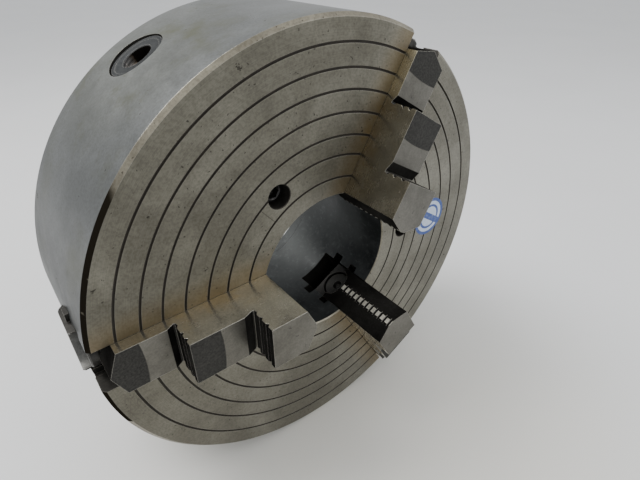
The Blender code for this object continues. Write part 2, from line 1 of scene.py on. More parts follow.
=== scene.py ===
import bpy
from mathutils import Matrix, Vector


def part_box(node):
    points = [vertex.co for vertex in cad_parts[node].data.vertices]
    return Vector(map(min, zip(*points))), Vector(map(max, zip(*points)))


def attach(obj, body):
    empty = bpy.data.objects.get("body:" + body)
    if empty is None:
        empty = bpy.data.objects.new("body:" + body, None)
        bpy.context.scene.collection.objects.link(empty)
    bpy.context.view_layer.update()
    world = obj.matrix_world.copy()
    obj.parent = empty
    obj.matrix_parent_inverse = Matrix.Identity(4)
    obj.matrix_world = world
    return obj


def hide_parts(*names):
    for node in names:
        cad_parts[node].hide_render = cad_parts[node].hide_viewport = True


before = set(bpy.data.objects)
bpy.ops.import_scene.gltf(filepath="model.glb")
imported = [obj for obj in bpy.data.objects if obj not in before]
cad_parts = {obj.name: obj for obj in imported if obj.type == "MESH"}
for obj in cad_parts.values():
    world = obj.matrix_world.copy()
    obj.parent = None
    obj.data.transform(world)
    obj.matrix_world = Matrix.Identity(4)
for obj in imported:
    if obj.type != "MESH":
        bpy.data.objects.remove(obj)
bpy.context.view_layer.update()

import math

import bmesh
import bpy
from mathutils import Matrix, Vector

# Every piece is modelled lying on its back, as the chuck is machined: Z = 0 is the back of the body and +Z
# points to the front face. A radial piece is modelled along +X and turned about Z to its place. STAND then
# stands the chuck on its rim, with its front facing -Y.

MM = 0.001
STAND = Matrix.Rotation(math.pi / 2, 4, "X")
RADIAL = Matrix.Rotation(math.pi / 2, 4, "Y")  # takes a turned piece's own axis to +X

BODY_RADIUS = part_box("chuck_body")[1].x
DEPTH = -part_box("chuck_body")[0].y
BORE_RADIUS = 66 * MM
BORE_CHAMFER = MM
RIM_CHAMFER = 2.8 * MM
BACK_CHAMFER = 2 * MM
TURNED_STEPS = 288

GROOVES = [radius * MM for radius in (181.8, 165, 149.7, 133.2, 115.8, 100.1, 81.7)]
GROOVE_HALF = 0.8 * MM
GROOVE_DEPTH = 1.1 * MM

JAW_ANGLES = [60, 180, 300]
OILED_SIDES = [1.0, -1.0, -1.0]  # which side of each slot the oil has crept out of
PINION_ANGLES = [0, 120, 240]

CAVITY_INNER = 104 * MM
CAVITY_OUTER = 166 * MM
CAVITY_TOP = DEPTH - 63 * MM
COVER_BOTTOM = -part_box("back_cover")[1].y
COVER_TOP = COVER_BOTTOM + 12 * MM
COVER_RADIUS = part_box("back_cover")[1].x
COVER_RIB = (CAVITY_INNER + 3 * MM, CAVITY_INNER + 15 * MM)
COVER_RIB_TOP = 59.6 * MM
RECESS_CHAMFER = 0.6 * MM
COVER_SCREW_CIRCLE = 175 * MM
COVER_SCREW_ANGLES = [30 + 60 * i for i in range(6)]
COVER_SCREW = {
    "head_radius": 6.5 * MM,
    "head_height": 8 * MM,
    "shank_radius": 4 * MM,
    "shank_length": 22 * MM,
}
FACE_SCREW_CIRCLE = 95 * MM
FACE_SCREW = {
    "head_radius": 9 * MM,
    "head_height": 12 * MM,
    "shank_radius": 6 * MM,
    "shank_length": 107 * MM,
}
COUNTERBORE_RADIUS = 9.6 * MM
COUNTERBORE_SEAT = DEPTH - 21.7 * MM

SLOT_HALF = 19.2 * MM
SLOT_FLOOR = DEPTH - 63.2 * MM
SLOT_EDGE = 0.12 * MM
TONGUE_CLEARANCE = 0.5 * MM
# A tongue is its half width, and the heights of its lower and its upper side.
JAW_TONGUE = (24 * MM, DEPTH - 26.2 * MM, DEPTH - 18.4 * MM)
CARRIER_TONGUE = (25.6 * MM, DEPTH - 49.6 * MM, DEPTH - 40.4 * MM)

PINION_AXIS = 43 * MM
PINION_RADIUS = 22 * MM
PINION_CLEARANCE = 0.45 * MM
PINION_END = 198.2 * MM
PINION_NECK = (173.5 * MM, 182.5 * MM)
PINION_NECK_RADIUS = 17.5 * MM
PINION_SHOULDER = 168.5 * MM
PINION_JOURNAL_RADIUS = 7 * MM
PINION_JOURNAL_END = 110.5 * MM
PINION_SOCKET = 17 * MM
PINION_SOCKET_DEPTH = 24 * MM
PINION_TEETH = 8
GEAR_SPAN = (124 * MM, 157 * MM)
GEAR_TIP_SLOPE = 16 / 150  # tooth tips per unit of distance from the chuck's axis
GEAR_ROOT_SLOPE = 11.2 / 150

SCREW_AXIS = DEPTH - 28 * MM
SCREW_RADIUS = 13.8 * MM
SCREW_CORE_RADIUS = 10.8 * MM
SCREW_SPAN = (71 * MM, 198 * MM)
SCREW_THREAD = (90 * MM, 150 * MM)
SCREW_LEAD = 8 * MM
SCREW_NECK = (186.3 * MM, 191.7 * MM)
SCREW_NECK_RADIUS = 9 * MM
SCREW_SOCKET = 11 * MM
SCREW_SOCKET_DEPTH = 14 * MM
TROUGH_RADIUS = 14.5 * MM
KEY_CLEARANCE_RADIUS = 17.4 * MM

CARRIER_HALF = 18.7 * MM
CARRIER_TOP = DEPTH - 28.2 * MM
CARRIER_BOTTOM = SLOT_FLOOR + 0.8 * MM
CARRIER_LEDGE = DEPTH - 44 * MM
CARRIER_ENDS = (69 * MM, 90 * MM, 203.8 * MM)  # where the cradle starts, the slide starts, and both end
CARRIER_ROUND = 8 * MM

JAW_HALF = 19.1 * MM
JAW_BOTTOM = DEPTH - 27.6 * MM
JAW_NOSE = 56.5 * MM
JAW_NOSE_SHOULDER = 64.5 * MM
JAW_LAND_HALF = 2.5 * MM
JAW_TIP = 192.2 * MM
JAW_TIP_SHOULDER = 184.5 * MM
LOW_STEP = 10 * MM
MIDDLE_STEP = 32.5 * MM
TOP_STEP = 55 * MM
OUTER_WALL = 144 * MM
INNER_WALL = 94.5 * MM
INNER_NOTCHES = (48.2 * MM, 39.8 * MM)  # heights of the serrations above the face
OUTER_NOTCHES = (26.2 * MM, 19.4 * MM)
NOTCH = 1.9 * MM
RELIEF = 3 * MM
LOW_PAD_START = 168.2 * MM
MIDDLE_PAD_START = 120.5 * MM

STICKER_RADIUS = 21 * MM
STICKER_PLACE = (135.5 * MM, -2 * MM, DEPTH)
STICKER_LINE = 1.3 * MM
SCRIBED_ANGLE = 130
EDGE_WEAR = 0.6 * MM
PAD_BOW = 3.7  # the edge of a black pad bows by this times the square of the distance across the jaw

FIT = 0.3 * MM  # the clearance round a piece that is let into another
PAST = MM  # how far a cutter runs past the face where it comes out

CAMERA_PLACE = (-0.2040, -0.3808, 0.2388)
CAMERA_LOOKS = (0.5157, 0.6504, -0.5578)
CAMERA_LENS = 25.19

scene = bpy.context.scene


# ---------------------------------------------------------------- shapes

def on_circle(radius, turn):
    return radius * math.cos(turn), radius * math.sin(turn)


def revolve(profile, steps, closed=False):
    """Turns (radius, z) points about Z. An open profile starts and ends on the axis."""
    form = bmesh.new()
    rings = []
    for radius, z in profile:
        count = steps if radius > 0 else 1
        spots = [(*on_circle(radius, 2 * math.pi * i / steps), z) for i in range(count)]
        rings.append([form.verts.new(spot) for spot in spots])
    pairs = list(zip(rings, rings[1:]))
    if closed:
        pairs.append((rings[-1], rings[0]))
    for one, two in pairs:
        for i in range(steps):
            j = (i + 1) % steps
            corners = []
            for ring, place in ((one, i), (one, j), (two, j), (two, i)):
                corner = ring[place % len(ring)]
                if corner not in corners:
                    corners.append(corner)
            form.faces.new(corners)
    bmesh.ops.recalc_face_normals(form, faces=form.faces)
    return form


def prism(points, start, end, across="X"):
    """A flat outline in the plane square to an axis, carried along that axis from start to end."""
    spots = {
        "X": lambda a, b, along: (along, a, b),
        "Y": lambda a, b, along: (a, along, b),
        "Z": lambda a, b, along: (a, b, along),
    }[across]
    form = bmesh.new()
    near = [form.verts.new(spots(a, b, start)) for a, b in points]
    far = [form.verts.new(spots(a, b, end)) for a, b in points]
    form.faces.new(near)
    form.faces.new(far)
    for i in range(len(points)):
        j = (i + 1) % len(points)
        form.faces.new((near[i], near[j], far[j], far[i]))
    bmesh.ops.recalc_face_normals(form, faces=form.faces)
    return form


def block(low, high):
    outline = [(low[0], low[1]), (high[0], low[1]), (high[0], high[1]), (low[0], high[1])]
    return prism(outline, low[2], high[2], "Z")


def cylinder(radius, start, end, steps=64, far_radius=None):
    return revolve([(0, start), (radius, start), (far_radius or radius, end), (0, end)], steps)


def moved(form, matrix):
    bmesh.ops.transform(form, matrix=matrix, verts=form.verts)
    return form


def turned_to(form, angle):
    return moved(form, Matrix.Rotation(math.radians(angle), 4, "Z"))


def along_radius(form, height):
    """Lays a piece turned about Z along the radius, at a height above the back."""
    return moved(form, Matrix.Translation((0, 0, height)) @ RADIAL)


def gathered(forms):
    """Several closed forms that don't meet, as one."""
    whole = bmesh.new()
    for form in forms:
        carried = bpy.data.meshes.new("carried")
        form.to_mesh(carried)
        form.free()
        whole.from_mesh(carried)
        bpy.data.meshes.remove(carried)
    return whole


def loose(form):
    mesh = bpy.data.meshes.new("loose")
    form.to_mesh(mesh)
    form.free()
    made = bpy.data.objects.new("loose", mesh)
    scene.collection.objects.link(made)
    return made


def combined(form, tool, operation="DIFFERENCE"):
    target, cutter = loose(form), loose(tool)
    step = target.modifiers.new("combine", "BOOLEAN")
    step.operation = operation
    step.solver = "MANIFOLD"
    step.object = cutter
    shaped = bpy.data.meshes.new_from_object(target.evaluated_get(bpy.context.evaluated_depsgraph_get()))
    made = bmesh.new()
    made.from_mesh(shaped)
    bpy.data.meshes.remove(shaped)
    for used in (target, cutter):
        mesh = used.data
        bpy.data.objects.remove(used)
        bpy.data.meshes.remove(mesh)
    return made


def trimmed(form, point, outward):
    """Cuts a form flat, and takes away what lies beyond the plane."""
    geometry = form.verts[:] + form.edges[:] + form.faces[:]
    bmesh.ops.bisect_plane(form, geom=geometry, plane_co=point, plane_no=outward, clear_outer=True)
    rim = [edge for edge in form.edges if edge.is_boundary]
    bmesh.ops.edgeloop_fill(form, edges=rim)
    return form


def piece(name, form, finishes, body, replaced, angle=0.0, soften=0.0, choose=None):
    """Puts a form in the scene as a piece that rides on a body. choose says which finish a face has."""
    mesh = bpy.data.meshes.new(name)
    bmesh.ops.recalc_face_normals(form, faces=form.faces)
    if choose:
        for face in form.faces:
            face.material_index = finishes.index(choose(face.calc_center_median(), face.normal))
    form.to_mesh(mesh)
    form.free()
    for finish in finishes:
        mesh.materials.append(finish)
    mesh.shade_smooth()
    mesh.set_sharp_from_angle(angle=math.radians(28))
    made = bpy.data.objects.new(name, mesh)
    scene.collection.objects.link(made)
    made.matrix_world = STAND @ Matrix.Rotation(math.radians(angle), 4, "Z")
    if soften:
        edges = made.modifiers.new("soft_edges", "BEVEL")
        edges.width = soften
        edges.segments = 2
        edges.angle_limit = math.radians(35)
        edges.harden_normals = True
    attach(made, body)
    if replaced:
        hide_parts(replaced)
    return made


# ---------------------------------------------------------------- finishes

class Finish:
    """A material and the few node steps that the finishes below are written with."""

    def __init__(self, name, roughness, metallic):
        self.material = bpy.data.materials.new(name)
        self.material.use_nodes = True
        self.tree = self.material.node_tree
        self.shader = self.tree.nodes["Principled BSDF"]
        self.set("Roughness", roughness)
        self.set("Metallic", metallic)
        self.place = self.node("ShaderNodeTexCoord").outputs["Object"]
        parts = self.node("ShaderNodeSeparateXYZ", {"Vector": self.place})
        self.x, self.y, self.z = (parts.outputs[axis] for axis in "XYZ")

    def put(self, socket, value):
        if isinstance(value, bpy.types.NodeSocket):
            self.tree.links.new(value, socket)
        elif isinstance(value, tuple) and len(value) == 3 and socket.type == "RGBA":
            socket.default_value = (*value, 1)
        else:
            socket.default_value = value

    def set(self, name, value):
        self.put(self.shader.inputs[name], value)

    def node(self, kind, sockets=None, **settings):
        made = self.tree.nodes.new(kind)
        for name, value in settings.items():
            setattr(made, name, value)
        for name, value in (sockets or {}).items():
            self.put(made.inputs[name], value)
        return made

    def math(self, operation, one, two=0.0, clamp=False):
        made = self.node("ShaderNodeMath", {0: one, 1: two}, operation=operation, use_clamp=clamp)
        return made.outputs[0]

    def plus(self, one, two):
        return self.math("ADD", one, two)

    def minus(self, one, two):
        return self.math("SUBTRACT", one, two)

    def times(self, one, two):
        return self.math("MULTIPLY", one, two)

    def highest(self, one, two):
        return self.math("MAXIMUM", one, two)

    def magnitude(self, value):
        return self.math("ABSOLUTE", value)

    def above(self, value, limit):
        """1 where the value is above the limit, and 0 elsewhere."""
        return self.math("GREATER_THAN", value, limit)

    def below(self, value, limit):
        """1 where the value is below the limit, and 0 elsewhere."""
        return self.math("LESS_THAN", value, limit)

    def noise(self, scale, detail=3.0, rough=0.55, vector=None, spread=0.0):
        sockets = {"Scale": scale, "Detail": detail, "Roughness": rough, "Distortion": spread}
        sockets["Vector"] = vector or self.place
        return self.node("ShaderNodeTexNoise", sockets).outputs["Fac"]

    def lines(self, along, scale, detail=3.0):
        """Noise that varies along one distance only, as a cutting tool leaves it."""
        sockets = {"W": along, "Scale": scale, "Detail": detail, "Roughness": 0.6}
        return self.node("ShaderNodeTexNoise", sockets, noise_dimensions="1D").outputs["Fac"]

    def stretched(self, x, y, z):
        """The place with each axis scaled, for grain that runs one way."""
        made = self.node("ShaderNodeVectorMath", {0: self.place, 1: (x, y, z)}, operation="MULTIPLY")
        return made.outputs[0]

    def distance(self, point):
        """How far the place is from a point of the piece's own frame."""
        made = self.node("ShaderNodeVectorMath", {0: self.place, 1: point}, operation="DISTANCE")
        return made.outputs["Value"]

    def turned(self, angle):
        """How far the place is along the chuck's radius at an angle, and how far across it."""
        cosine, sine = math.cos(math.radians(angle)), math.sin(math.radians(angle))
        along = self.plus(self.times(self.x, cosine), self.times(self.y, sine))
        across = self.minus(self.times(self.y, cosine), self.times(self.x, sine))
        return along, across

    def span(self, value, low, high, to_low=0.0, to_high=1.0):
        sockets = {"Value": value, "From Min": low, "From Max": high, "To Min": to_low, "To Max": to_high}
        return self.node("ShaderNodeMapRange", sockets, interpolation_type="SMOOTHSTEP").outputs["Result"]

    def mix(self, factor, one, two, how="MIX"):
        made = self.node("ShaderNodeMix", data_type="RGBA", blend_type=how, clamp_factor=True)
        self.put(made.inputs[0], factor)
        self.put(made.inputs[6], one)
        self.put(made.inputs[7], two)
        return made.outputs[2]

    def shade(self, share, color, pattern, low, high=(1, 1, 1)):
        """A share of the colour is multiplied, by low where the pattern is 0 and by high where it is 1."""
        return self.mix(share, color, self.mix(pattern, low, high), "MULTIPLY")

    def radius(self):
        square = self.plus(self.times(self.x, self.x), self.times(self.y, self.y))
        return self.math("SQRT", square)

    def worn_edge(self, width):
        """1 on an edge and 0 on a flat, and the rounded normal that it is read from."""
        rounded = self.node("ShaderNodeBevel", {"Radius": width}, samples=4).outputs["Normal"]
        flat = self.node("ShaderNodeNewGeometry").outputs["Normal"]
        same = self.node("ShaderNodeVectorMath", {0: rounded, 1: flat}, operation="DOT_PRODUCT")
        return self.span(same.outputs["Value"], 0.995, 0.86), rounded

    def bump(self, height, depth, normal=None):
        made = self.node("ShaderNodeBump", {"Height": height, "Distance": depth, "Strength": 1.0})
        if normal:
            self.put(made.inputs["Normal"], normal)
        return made.outputs["Normal"]

    def specks(self, scale, size, share):
        """Small ragged pits, on a share of the places where they could be."""
        noise = self.node("ShaderNodeTexNoise", {"Vector": self.place, "Scale": scale * 4}).outputs["Color"]
        middle = self.node("ShaderNodeVectorMath", {0: noise, 1: (-0.5, -0.5, -0.5)}).outputs[0]
        shift = self.node("ShaderNodeVectorMath", {0: middle, "Scale": 0.7 / scale}, operation="SCALE")
        ragged = self.node("ShaderNodeVectorMath", {0: self.place, 1: shift.outputs[0]}).outputs[0]
        cells = self.node("ShaderNodeTexVoronoi", {"Vector": ragged, "Scale": scale})
        near = self.span(cells.outputs["Distance"], size, size * 0.45)
        chosen = self.node("ShaderNodeSeparateColor", {"Color": cells.outputs["Color"]}).outputs[0]
        return self.times(near, self.below(chosen, share))


def machined(name, dark, light, roughness, metallic, along, grain=0.35, edge=(0.42, 0.41, 0.37), pits=0.10,
             stain=None, stain_mask=None, stain_floor=0.0, line_scale=1500, extra=None, sheen=0.5):
    """Cut or ground steel. along is "radius", "z" or "grain": the way that the tool marks step."""
    finish = Finish(name, roughness, metallic)
    if along == "radius":
        marks = finish.lines(finish.radius(), line_scale)
    elif along == "z":
        marks = finish.lines(finish.z, line_scale)
    else:
        marks = finish.noise(60, 4, 0.6, finish.stretched(0.5, 14, 14))
    cloud = finish.noise(16, 5, 0.62, spread=0.4)
    haze = finish.noise(70, 4, 0.6)
    spots = finish.span(finish.noise(520, 4, 0.7), 0.36, 0.6)
    grit = finish.noise(900, 2, 0.5)
    color = finish.mix(finish.span(cloud, 0.32, 0.7), dark, light)
    color = finish.shade(grain, color, finish.span(marks, 0.3, 0.7), (0.62, 0.62, 0.62))
    color = finish.shade(0.35, color, finish.span(haze, 0.35, 0.65), (0.7, 0.7, 0.7))
    color = finish.shade(0.38, color, spots, (0.5, 0.49, 0.46), (1.08, 1.08, 1.08))
    if stain:
        broad = finish.span(finish.noise(11, 5, 0.65), 0.42, 0.72)
        small = finish.span(finish.noise(42, 5, 0.7), 0.46, 0.66)
        patches = finish.highest(finish.highest(broad, finish.times(small, 0.5)), stain_floor)
        color = finish.mix(finish.times(patches, stain_mask(finish)), color, stain)
    pitted = finish.highest(finish.specks(260, 0.2, pits), finish.specks(70, 0.11, pits * 0.9))
    color = finish.mix(finish.times(pitted, 0.8), color, (0.035, 0.03, 0.025))
    worn, rounded = finish.worn_edge(EDGE_WEAR)
    color = finish.mix(finish.times(worn, 0.75), color, edge)
    if extra:
        color = extra(finish, color)
    finish.set("Base Color", color)
    finish.set("Specular IOR Level", sheen)
    rough = finish.plus(finish.times(haze, 0.22), finish.times(marks, 0.12))
    rough = finish.plus(rough, roughness - 0.17)
    finish.set("Roughness", finish.math("ADD", rough, finish.times(pitted, 0.3), clamp=True))
    relief = finish.plus(finish.times(marks, 0.5), finish.times(grit, 0.35))
    relief = finish.minus(relief, finish.times(pitted, 1.5))
    finish.set("Normal", finish.bump(relief, 0.035 * MM, rounded))
    return finish.material


def near_jaws(finish):
    """Oil creeps out of one side of each slot: 1 beside the slot, 0 away from it."""
    total = 0.0
    for angle, side in zip(JAW_ANGLES, OILED_SIDES):
        along, across = finish.turned(angle)
        reach = finish.times(across, side)
        beside = finish.times(finish.span(reach, 46 * MM, 20 * MM), finish.above(reach, 0.0))
        total = finish.highest(total, finish.times(beside, finish.above(along, 0.0)))
    return total


def near_face(finish):
    """Oil on a jaw's sides, most of it just above the face of the chuck."""
    return finish.span(finish.z, DEPTH + 34 * MM, DEPTH + 6 * MM, 0.15, 0.95)


def around_pinions(finish):
    """Oil and old grease on the side, most of it round the key sockets."""
    total = 0.45
    for angle in PINION_ANGLES:
        turn = math.radians(angle)
        socket = (BODY_RADIUS * math.cos(turn), BODY_RADIUS * math.sin(turn), PINION_AXIS)
        total = finish.highest(total, finish.span(finish.distance(socket), 130 * MM, 40 * MM))
    return total


def face_marks_and_shade(finish, color):
    """Painted shade that darkens the upper left, a scribed line beside the face screw, and scratches across
    the turning.
    """
    # Painted shade: the face is made darker towards its upper left.
    painted_upper_left_shade = finish.span(finish.minus(finish.y, finish.x), -85 * MM, 210 * MM)
    color = finish.mix(finish.times(painted_upper_left_shade, 0.65), color, (0.62, 0.61, 0.57), "MULTIPLY")
    along, across = finish.turned(SCRIBED_ANGLE)
    line = finish.span(finish.magnitude(across), 0.45 * MM, 0.2 * MM)
    line = finish.times(line, finish.times(finish.above(along, GROOVES[6]), finish.below(along, GROOVES[5])))
    color = finish.mix(finish.times(line, 0.7), color, (0.05, 0.045, 0.035))
    wander = finish.noise(30, 2, 0.5, finish.stretched(1, 0.25, 1), 1.5)
    scratch = finish.span(finish.magnitude(finish.minus(wander, 0.5)), 0.004, 0.0015)
    scratch = finish.times(scratch, finish.span(finish.noise(24, 2), 0.56, 0.66))
    return finish.mix(finish.times(scratch, 0.5), color, (0.08, 0.07, 0.055))


def side_painted_shade(finish, color):
    """Painted shade: the side is made darker low down, and its reflections duller there."""
    low = finish.times(finish.span(finish.y, 150 * MM, 20 * MM), 0.6)
    # Painted shade on the reflection too: the specular tint is darkened towards the bottom.
    finish.set("Specular Tint", finish.mix(low, (1, 1, 1), (0.2, 0.2, 0.2)))
    return finish.mix(low, color, (0.45, 0.45, 0.46), "MULTIPLY")


def tip_painted_highlight(finish, color):
    """Painted highlight: a jaw's side made bright towards its outer end."""
    outer = finish.span(finish.x, 138 * MM, 158 * MM)
    return finish.mix(finish.times(outer, 0.85), color, (0.74, 0.68, 0.50))


def rim_painted_shade(finish, color):
    """Painted shade: black on the left of the rim, where the chamfer lies in the dark, with the tan of the
    rest showing through in nicks.
    """
    ragged = finish.plus(finish.x, finish.times(finish.noise(40, 3), 4 * MM))
    left = finish.times(finish.span(ragged, -151 * MM, -158 * MM), finish.above(finish.y, -60 * MM))
    painted_rim_shade = finish.times(left, finish.span(finish.noise(150, 3), 0.78, 0.66))
    # The painted shade takes away the metal's reflection there as well.
    finish.set("Metallic", finish.minus(0.85, finish.times(painted_rim_shade, 0.85)))
    return finish.mix(painted_rim_shade, color, (0.012, 0.010, 0.007))


def black_oxide():
    finish = Finish("black_oxide", 0.32, 0.75)
    cloud = finish.noise(90, 4, 0.6)
    worn, rounded = finish.worn_edge(0.4 * MM)
    color = finish.mix(cloud, (0.02, 0.02, 0.022), (0.055, 0.052, 0.05))
    finish.set("Base Color", finish.mix(finish.times(worn, 0.5), color, (0.3, 0.29, 0.27)))
    finish.set("Roughness", finish.span(cloud, 0.3, 0.7, 0.22, 0.42))
    finish.set("Normal", finish.bump(finish.noise(500, 2), 0.03 * MM, rounded))
    return finish.material


def socket_wall():
    """Inside a key socket: turned rings in bright steel, painted light, on one side, and a painted shadow,
    near black, on the other.
    """
    finish = Finish("socket_wall", 0.3, 0.85)
    rings = finish.lines(finish.x, 700, 2)
    # Painted light: the turned rings are made very bright where the wall would be lit.
    painted_lit_wall = finish.mix(finish.span(rings, 0.35, 0.62), (0.26, 0.255, 0.25), (0.92, 0.9, 0.88))
    # Painted shade: the lit wall turns browner and darker towards the shadowed side.
    painted_lit_wall = finish.mix(finish.span(finish.y, 6 * MM, 0.0), painted_lit_wall, (0.26, 0.21, 0.15), "MULTIPLY")
    # Painted shadow: near black over the other side of the socket, with a ragged edge, and rougher there.
    ragged = finish.plus(finish.y, finish.times(finish.noise(300, 3), 1.5 * MM))
    painted_socket_shadow = finish.span(ragged, 2.4 * MM, 0.4 * MM)
    finish.set("Base Color", finish.mix(painted_socket_shadow, painted_lit_wall, (0.008, 0.006, 0.004)))
    finish.set("Roughness", finish.plus(finish.times(painted_socket_shadow, 0.5), 0.3))
    finish.set("Normal", finish.bump(rings, 0.1 * MM))
    return finish.material


def bore_wall():
    finish = Finish("bore_wall", 0.45, 0.7)
    cloud = finish.noise(26, 6, 0.6)
    fine = finish.noise(240, 5, 0.65)
    marks = finish.lines(finish.z, 900)
    color = finish.mix(finish.span(cloud, 0.3, 0.75), (0.026, 0.028, 0.028), (0.075, 0.08, 0.079))
    color = finish.mix(finish.times(finish.span(fine, 0.5, 0.75), 0.35), color, (0.14, 0.15, 0.147))
    finish.set("Base Color", color)
    finish.set("Roughness", finish.span(cloud, 0.3, 0.7, 0.3, 0.6))
    relief = finish.plus(finish.times(fine, 0.8), finish.times(marks, 0.6))
    finish.set("Normal", finish.bump(relief, 0.12 * MM))
    return finish.material


def groove_dirt():
    finish = Finish("groove_dirt", 0.75, 0.2)
    cloud = finish.noise(120, 4, 0.6)
    finish.set("Base Color", finish.mix(cloud, (0.008, 0.007, 0.006), (0.05, 0.04, 0.028)))
    finish.set("Normal", finish.bump(cloud, 0.2 * MM))
    return finish.material


def jaw_step():
    """A step: blackened towards the rim, with a ground seat beside the riser."""
    finish = Finish("jaw_step", 0.42, 0.7)
    bow = finish.times(finish.times(finish.y, finish.y), PAD_BOW)
    reach = finish.minus(finish.x, bow)
    ragged = finish.plus(reach, finish.times(finish.noise(260, 3), 0.5 * MM))
    low = finish.span(ragged, LOW_PAD_START, LOW_PAD_START + 0.7 * MM)
    middle = finish.span(ragged, MIDDLE_PAD_START, MIDDLE_PAD_START + 0.7 * MM)
    middle = finish.times(middle, finish.below(finish.x, OUTER_WALL + MM))
    pad = finish.highest(low, middle)
    cloud = finish.noise(45, 5, 0.6)
    grit = finish.noise(700, 2)
    seat = finish.mix(finish.span(cloud, 0.3, 0.7), (0.100, 0.095, 0.081), (0.162, 0.155, 0.135))
    seat = finish.shade(0.4, seat, finish.span(grit, 0.35, 0.65), (0.6, 0.6, 0.6))
    speckle = finish.span(finish.noise(650, 4, 0.7), 0.34, 0.68)
    black = finish.mix(speckle, (0.018, 0.018, 0.016), (0.044, 0.042, 0.038))
    color = finish.mix(pad, seat, black)
    spots = finish.specks(150, 0.2, 0.12)
    color = finish.mix(finish.times(spots, 0.75), color, (0.03, 0.028, 0.025))
    worn, rounded = finish.worn_edge(0.7 * MM)
    color = finish.mix(finish.times(worn, 0.7), color, (0.5, 0.48, 0.42))
    finish.set("Base Color", color)
    finish.set("Metallic", finish.minus(0.85, finish.times(pad, 0.6)))
    finish.set("Specular IOR Level", finish.minus(0.5, finish.times(pad, 0.35)))
    rough = finish.plus(finish.times(cloud, 0.2), 0.3)
    finish.set("Roughness", finish.plus(rough, finish.times(pad, 0.12)))
    relief = finish.plus(finish.times(pad, 6.0), finish.times(grit, 0.5))
    finish.set("Normal", finish.bump(relief, 0.05 * MM, rounded))
    return finish.material


def sticker_print():
    """A blank round shop sticker: a blue rim and a plain blue band on white paper."""
    finish = Finish("sticker_print", 0.45, 0.0)
    radius = finish.radius()
    rim = finish.above(radius, STICKER_RADIUS * 0.84)
    slant = finish.plus(finish.times(finish.x, 0.55), finish.times(finish.y, 0.83))
    band = finish.below(finish.magnitude(slant), STICKER_RADIUS * 0.16)
    arc = finish.below(finish.magnitude(finish.minus(radius, STICKER_RADIUS * 0.6)), STICKER_LINE)
    ink = finish.highest(rim, finish.highest(band, arc))
    scuff = finish.span(finish.noise(240, 4, 0.65), 0.5, 0.7)
    ink = finish.times(ink, finish.minus(1.0, finish.times(scuff, 0.25)))
    paper = finish.mix(finish.noise(120, 3), (0.34, 0.44, 0.62), (0.66, 0.70, 0.76))
    finish.set("Base Color", finish.mix(ink, paper, (0.018, 0.06, 0.26)))
    finish.set("Normal", finish.bump(finish.noise(90, 3), 0.15 * MM))
    return finish.material


FACE = machined(
    "turned_face", (0.168, 0.159, 0.129), (0.268, 0.258, 0.216), 0.46, 0.82, "radius", pits=0.3,
    stain=(0.215, 0.150, 0.062), stain_mask=near_jaws, stain_floor=0.45, extra=face_marks_and_shade,
)
SIDE = machined(
    "turned_side", (0.160, 0.168, 0.172), (0.240, 0.250, 0.256), 0.34, 0.85, "z", grain=0.22, pits=0.04,
    stain=(0.082, 0.084, 0.026), stain_mask=around_pinions, stain_floor=0.25, extra=side_painted_shade,
)
RIM = machined("rim_chamfer", (0.22, 0.20, 0.155), (0.36, 0.335, 0.265), 0.38, 0.85, "radius", pits=0.35,
               extra=rim_painted_shade, sheen=0.0)
BACK = machined("turned_back", (0.20, 0.20, 0.19), (0.30, 0.30, 0.28), 0.45, 0.8, "radius", pits=0.12)
IRON = machined("turned_iron", (0.16, 0.16, 0.155), (0.26, 0.26, 0.25), 0.5, 0.75, "radius", pits=0.35,
                line_scale=900)
SLOT = machined("slot_wall", (0.014, 0.013, 0.011), (0.050, 0.047, 0.042), 0.5, 0.5, "grain", pits=0.1,
                edge=(0.24, 0.225, 0.19), sheen=0.2)
JAW_SIDE = machined(
    "jaw_side", (0.68, 0.65, 0.55), (0.84, 0.81, 0.71), 0.23, 0.94, "grain", grain=0.2, pits=0.06,
    stain=(0.78, 0.64, 0.38), stain_mask=near_face,
)
# Partly oil, partly painted shade: a darker copy of jaw_side for the first jaw, whose side shows a darker
# reflection.
JAW_SIDE_OILED_AND_SHADED = machined(
    "jaw_side_oiled_and_shaded", (0.34, 0.31, 0.24), (0.45, 0.42, 0.34), 0.26, 0.94, "grain", grain=0.22, pits=0.08,
    stain=(0.30, 0.235, 0.12), stain_mask=near_face, extra=tip_painted_highlight,
)
JAW_DARK = machined("jaw_blackened", (0.007, 0.0065, 0.006), (0.024, 0.023, 0.021), 0.6, 0.0, "grain",
                    pits=0.05, edge=(0.30, 0.28, 0.25), sheen=0.0)
JAW_LAND = machined("jaw_land", (0.80, 0.76, 0.64), (0.92, 0.88, 0.76), 0.4, 0.55, "grain", pits=0.0)
JAW_STEP = jaw_step()
PINION = machined("pinion_steel", (0.030, 0.032, 0.033), (0.070, 0.073, 0.075), 0.6, 0.0, "grain", pits=0.15,
                  edge=(0.34, 0.33, 0.31), sheen=0.0)
PINION_BORE = socket_wall()
INNER = machined("oiled_steel", (0.022, 0.021, 0.019), (0.075, 0.072, 0.066), 0.42, 0.6, "grain", pits=0.08,
                 edge=(0.24, 0.23, 0.21), sheen=0.3)
END = machined("carrier_end", (0.10, 0.10, 0.095), (0.19, 0.19, 0.182), 0.38, 0.8, "grain", pits=0.08)
BORE = bore_wall()
GROOVE = groove_dirt()
OXIDE = black_oxide()
STICKER = sticker_print()


# ---------------------------------------------------------------- the body and what is fixed to it

def groove_points(radius):
    lip = 0.15 * MM
    return [
        (radius + GROOVE_HALF + lip, DEPTH),
        (radius + GROOVE_HALF, DEPTH - lip),
        (radius + GROOVE_HALF * 0.6, DEPTH - GROOVE_DEPTH),
        (radius - GROOVE_HALF * 0.6, DEPTH - GROOVE_DEPTH),
        (radius - GROOVE_HALF, DEPTH - lip),
        (radius - GROOVE_HALF - lip, DEPTH),
    ]


